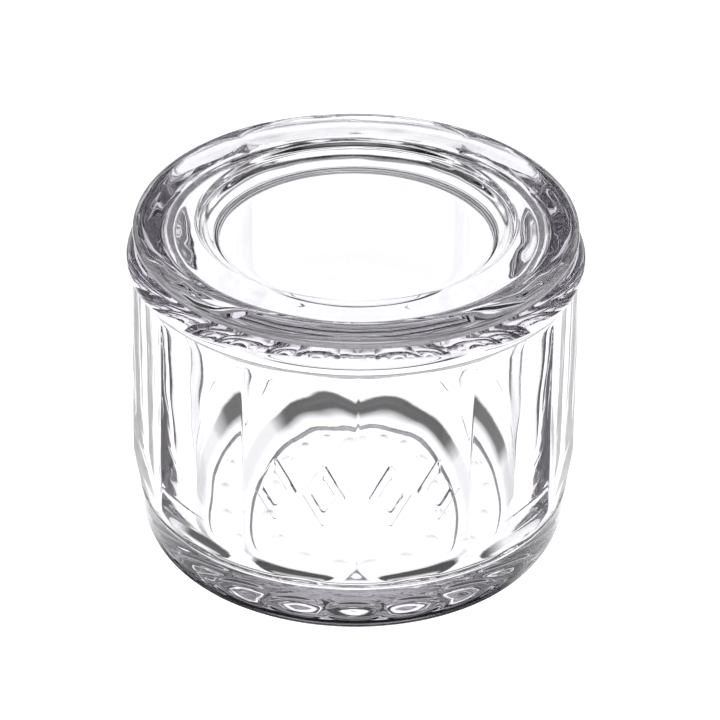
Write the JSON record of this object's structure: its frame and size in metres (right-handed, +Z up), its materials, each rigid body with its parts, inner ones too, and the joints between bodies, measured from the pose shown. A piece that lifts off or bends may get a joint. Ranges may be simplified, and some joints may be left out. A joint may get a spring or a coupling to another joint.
{
  "type": "lidded glass salt cellar",
  "caption": "Heavy clear pressed-glass jar with flat-panelled sides, a rounded heel and a rim bead, holding loose salt under a loose glass lid that plugs the mouth.",
  "frame": {"origin": "centre of the jar's bearing ring, on the plane it stands on", "axes": "+Z up along the jar's axis; -Y towards the corner between the two panels that carry the frieze"},
  "size_m": [0.086, 0.086, 0.0692],
  "materials": {
    "jar": "clear pressed glass, fire-polished",
    "lid": "clear pressed glass, fire-polished"
  },
  "bodies": {
    "jar": {"jar": "jar"},
    "lid": {"lid": "lid"}
  },
  "joints": [
    {"name": "lid_lift", "type": "slide", "parent": "jar", "child": "lid", "axis": [0, 0, 1], "range_m": [0, 0.06]}
  ]
}
